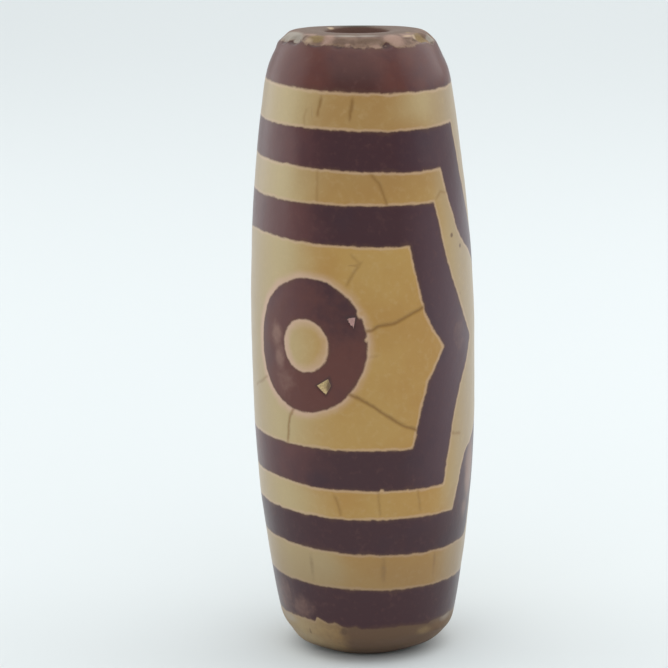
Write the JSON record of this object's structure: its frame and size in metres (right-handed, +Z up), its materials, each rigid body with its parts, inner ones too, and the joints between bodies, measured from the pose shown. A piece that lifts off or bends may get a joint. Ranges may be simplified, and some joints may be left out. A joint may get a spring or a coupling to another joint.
{
  "type": "ancient bead",
  "caption": "Long barrel bead of etched agate, bored lengthwise, with dark bands, nested pointed frames and a round eye; it stands on its worn foot.",
  "frame": {"origin": "middle of the foot, in the plane that the bead stands on", "axes": "+Z up along the bore; -Y is the side that the eye faces"},
  "size_m": [0.0134, 0.0134, 0.038],
  "materials": {
    "agate": "satin gloss"
  },
  "bodies": {
    "root": {"bead": "agate"}
  },
  "joints": []
}
